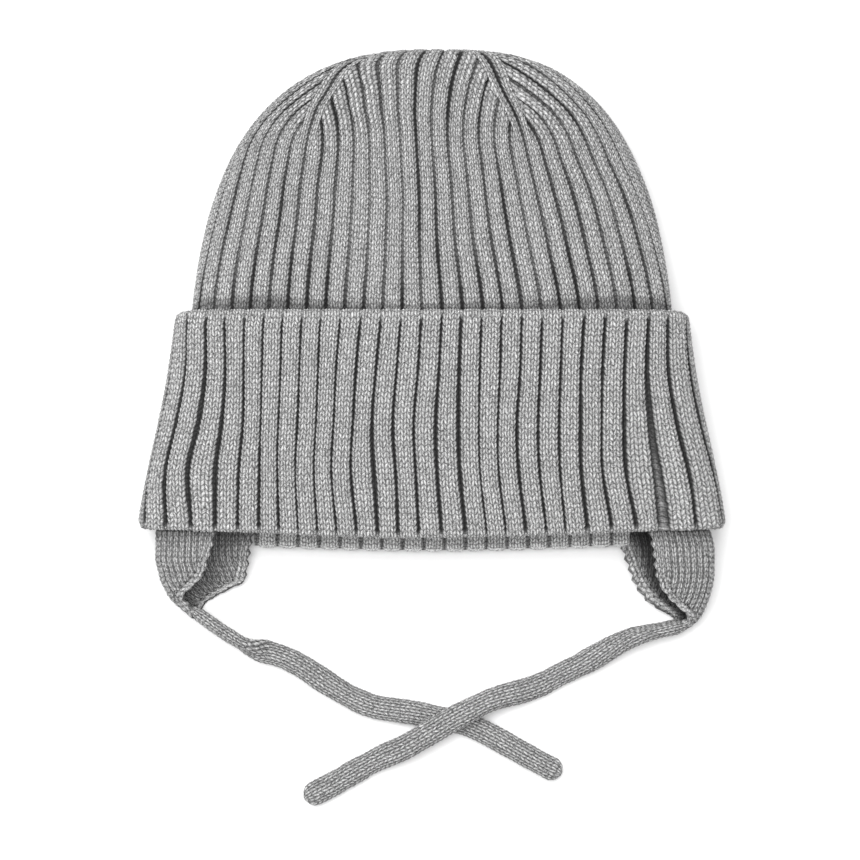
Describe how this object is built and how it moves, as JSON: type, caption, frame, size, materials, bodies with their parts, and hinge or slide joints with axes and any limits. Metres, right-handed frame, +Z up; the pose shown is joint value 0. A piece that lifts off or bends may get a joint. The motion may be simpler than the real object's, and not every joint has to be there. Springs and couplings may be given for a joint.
{
  "type": "knitted baby hat with ear flaps and ties",
  "caption": "Ribbed knit baby hat lying on its back, with a deep turned-up cuff, ear flaps folded round its sides and crossed ties.",
  "frame": {"origin": "middle of the cuff's back, on the flat of the rib that the hat lies on", "axes": "+Z up from the surface to the hat's front, +Y from the rim to the top of the crown, +X to the right seen from above"},
  "size_m": [0.211, 0.2746, 0.0352],
  "materials": {
    "crown_knit": "matt heather grey rib knit",
    "cuff_knit": "matt heather grey rib knit, doubled",
    "flap_knit": "matt heather grey knit in a finer rib",
    "tie_knit": "matt heather grey knitted flat cord"
  },
  "bodies": {
    "root": {"crown": "crown_knit", "cuff": "cuff_knit", "ear_flap_left": "flap_knit", "ear_flap_right": "flap_knit", "tie_left": "tie_knit", "tie_right": "tie_knit"}
  },
  "joints": []
}
